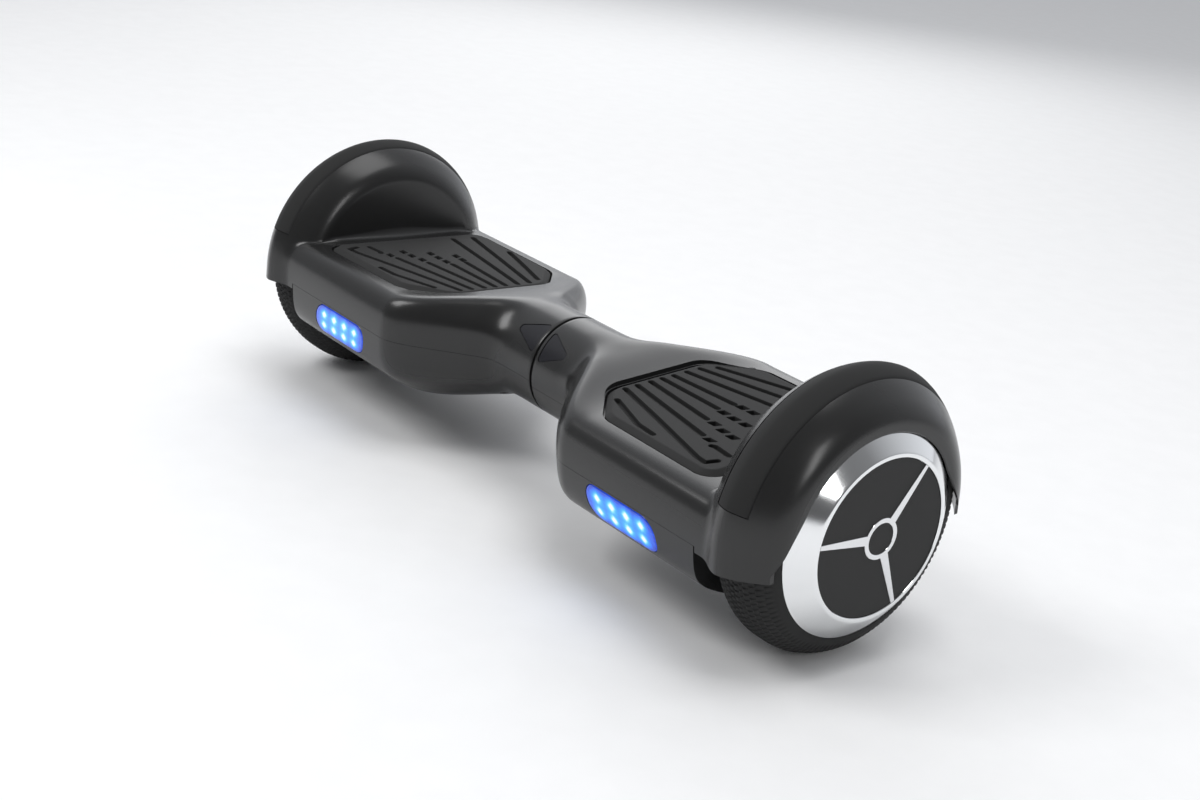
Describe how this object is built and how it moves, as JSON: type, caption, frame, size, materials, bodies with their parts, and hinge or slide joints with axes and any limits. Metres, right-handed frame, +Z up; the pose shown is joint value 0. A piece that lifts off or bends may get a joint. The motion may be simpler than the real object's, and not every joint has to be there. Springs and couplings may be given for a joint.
{
  "type": "self balancing board",
  "caption": "Two-wheeled self balancing board: two hinged halves with foot pads, fendered hub-motor wheels, blue lights and a round neck that twists.",
  "frame": {"origin": "on the ground under the middle of the board, between the wheels", "axes": "+X along the axle towards the right wheel, +Y to the back (the lights face -Y), +Z up"},
  "size_m": [0.584, 0.1905, 0.1799],
  "materials": {
    "shell_plastic": "black moulded plastic, satin gloss",
    "textured_rubber": "fine leather-like grain",
    "cast_frame": "as cast",
    "clamp_alloy": "milled",
    "black_steel": "black oxide",
    "blue_lens": "lit blue, clear moulding",
    "led_board": "white solder mask",
    "dark_window": "polished dark window",
    "circuit_board": "green solder mask",
    "pad_rubber": "matt moulded rubber with grooves",
    "black_nylon": "moulded",
    "axle_steel": "ground",
    "stator_iron": "laminated",
    "copper_wire": "enamelled copper",
    "tyre_rubber": "matt rubber with fine block tread",
    "rim_alloy": "black coated",
    "magnet_metal": "nickel plated",
    "bearing_steel": "polished",
    "chrome_trim": "polished plate",
    "disc_plastic": "fine matt",
    "satin_trim": "satin silver",
    "bush_bronze": "sintered",
    "seal_rubber": "matt",
    "cable_sleeve": "braided sleeve",
    "battery_wrap": "shrink wrap",
    "heat_sink_board": "board on a finned plate",
    "button_plastic": "glossy",
    "socket_plastic": "moulded"
  },
  "bodies": {
    "left_half": {"left_top_shell": "shell_plastic", "left_bottom_shell": "shell_plastic", "left_fender_trim": "textured_rubber", "left_frame": "cast_frame", "left_axle_clamp": "clamp_alloy", "left_clamp_bolts": "black_steel", "left_shell_screws": "black_steel", "left_light_lens": "blue_lens", "left_light_board": "led_board", "left_indicator_window": "dark_window", "left_gyro_board": "circuit_board", "left_axle": "axle_steel", "left_stator": "stator_iron", "left_windings": "copper_wire", "pivot_tube": "axle_steel", "pivot_circlip": "black_steel", "twist_stop_pin": "bearing_steel", "neck_seal": "seal_rubber", "power_harness": "cable_sleeve", "main_board": "heat_sink_board", "power_switch_body": "socket_plastic", "charge_port": "socket_plastic"},
    "right_half": {"right_top_shell": "shell_plastic", "right_bottom_shell": "shell_plastic", "right_fender_trim": "textured_rubber", "right_frame": "cast_frame", "right_axle_clamp": "clamp_alloy", "right_clamp_bolts": "black_steel", "right_shell_screws": "black_steel", "right_light_lens": "blue_lens", "right_light_board": "led_board", "right_indicator_window": "dark_window", "right_gyro_board": "circuit_board", "right_axle": "axle_steel", "right_stator": "stator_iron", "right_windings": "copper_wire", "pivot_bushes": "bush_bronze", "battery_pack": "battery_wrap"},
    "left_wheel": {"left_tyre": "tyre_rubber", "left_rim": "rim_alloy", "left_motor_cover": "rim_alloy", "left_magnets": "magnet_metal", "left_bearings": "bearing_steel", "left_rim_cover": "chrome_trim", "left_hub_disc": "disc_plastic", "left_hub_spokes": "satin_trim"},
    "right_wheel": {"right_tyre": "tyre_rubber", "right_rim": "rim_alloy", "right_motor_cover": "rim_alloy", "right_magnets": "magnet_metal", "right_bearings": "bearing_steel", "right_rim_cover": "chrome_trim", "right_hub_disc": "disc_plastic", "right_hub_spokes": "satin_trim"},
    "left_pad": {"left_foot_pad": "pad_rubber", "left_pad_plungers": "black_nylon"},
    "right_pad": {"right_foot_pad": "pad_rubber", "right_pad_plungers": "black_nylon"},
    "power_button": {"power_button": "button_plastic"},
    "charge_port_cap": {"charge_port_cap": "seal_rubber"}
  },
  "joints": [
    {"name": "neck_twist", "type": "hinge", "parent": "left_half", "child": "right_half", "pos_m": [0, 0, 0.085], "axis": [1, 0, 0], "range_deg": [-21, 9]},
    {"name": "left_wheel_spin", "type": "hinge", "parent": "left_half", "child": "left_wheel", "pos_m": [-0.258, 0, 0.085], "axis": [1, 0, 0], "continuous": true},
    {"name": "right_wheel_spin", "type": "hinge", "parent": "right_half", "child": "right_wheel", "pos_m": [0.258, 0, 0.085], "axis": [1, 0, 0], "continuous": true},
    {"name": "left_pad_press", "type": "slide", "parent": "left_half", "child": "left_pad", "axis": [0, 0, -1], "range_m": [0, 0.0015], "stiffness_N_per_m": 4000, "springref_m": -0.002},
    {"name": "right_pad_press", "type": "slide", "parent": "right_half", "child": "right_pad", "axis": [0, 0.1045, -0.9945], "range_m": [0, 0.0015], "stiffness_N_per_m": 4000, "springref_m": -0.002},
    {"name": "power_button_press", "type": "slide", "parent": "left_half", "child": "power_button", "axis": [0, -0.9816, 0.1908], "range_m": [0, 0.0015], "stiffness_N_per_m": 600, "springref_m": -0.0015},
    {"name": "charge_cap_swing", "type": "hinge", "parent": "left_half", "child": "charge_port_cap", "pos_m": [-0.158, 0.09196, 0.07691], "axis": [1, 0, 0], "range_deg": [0, 110]}
  ]
}
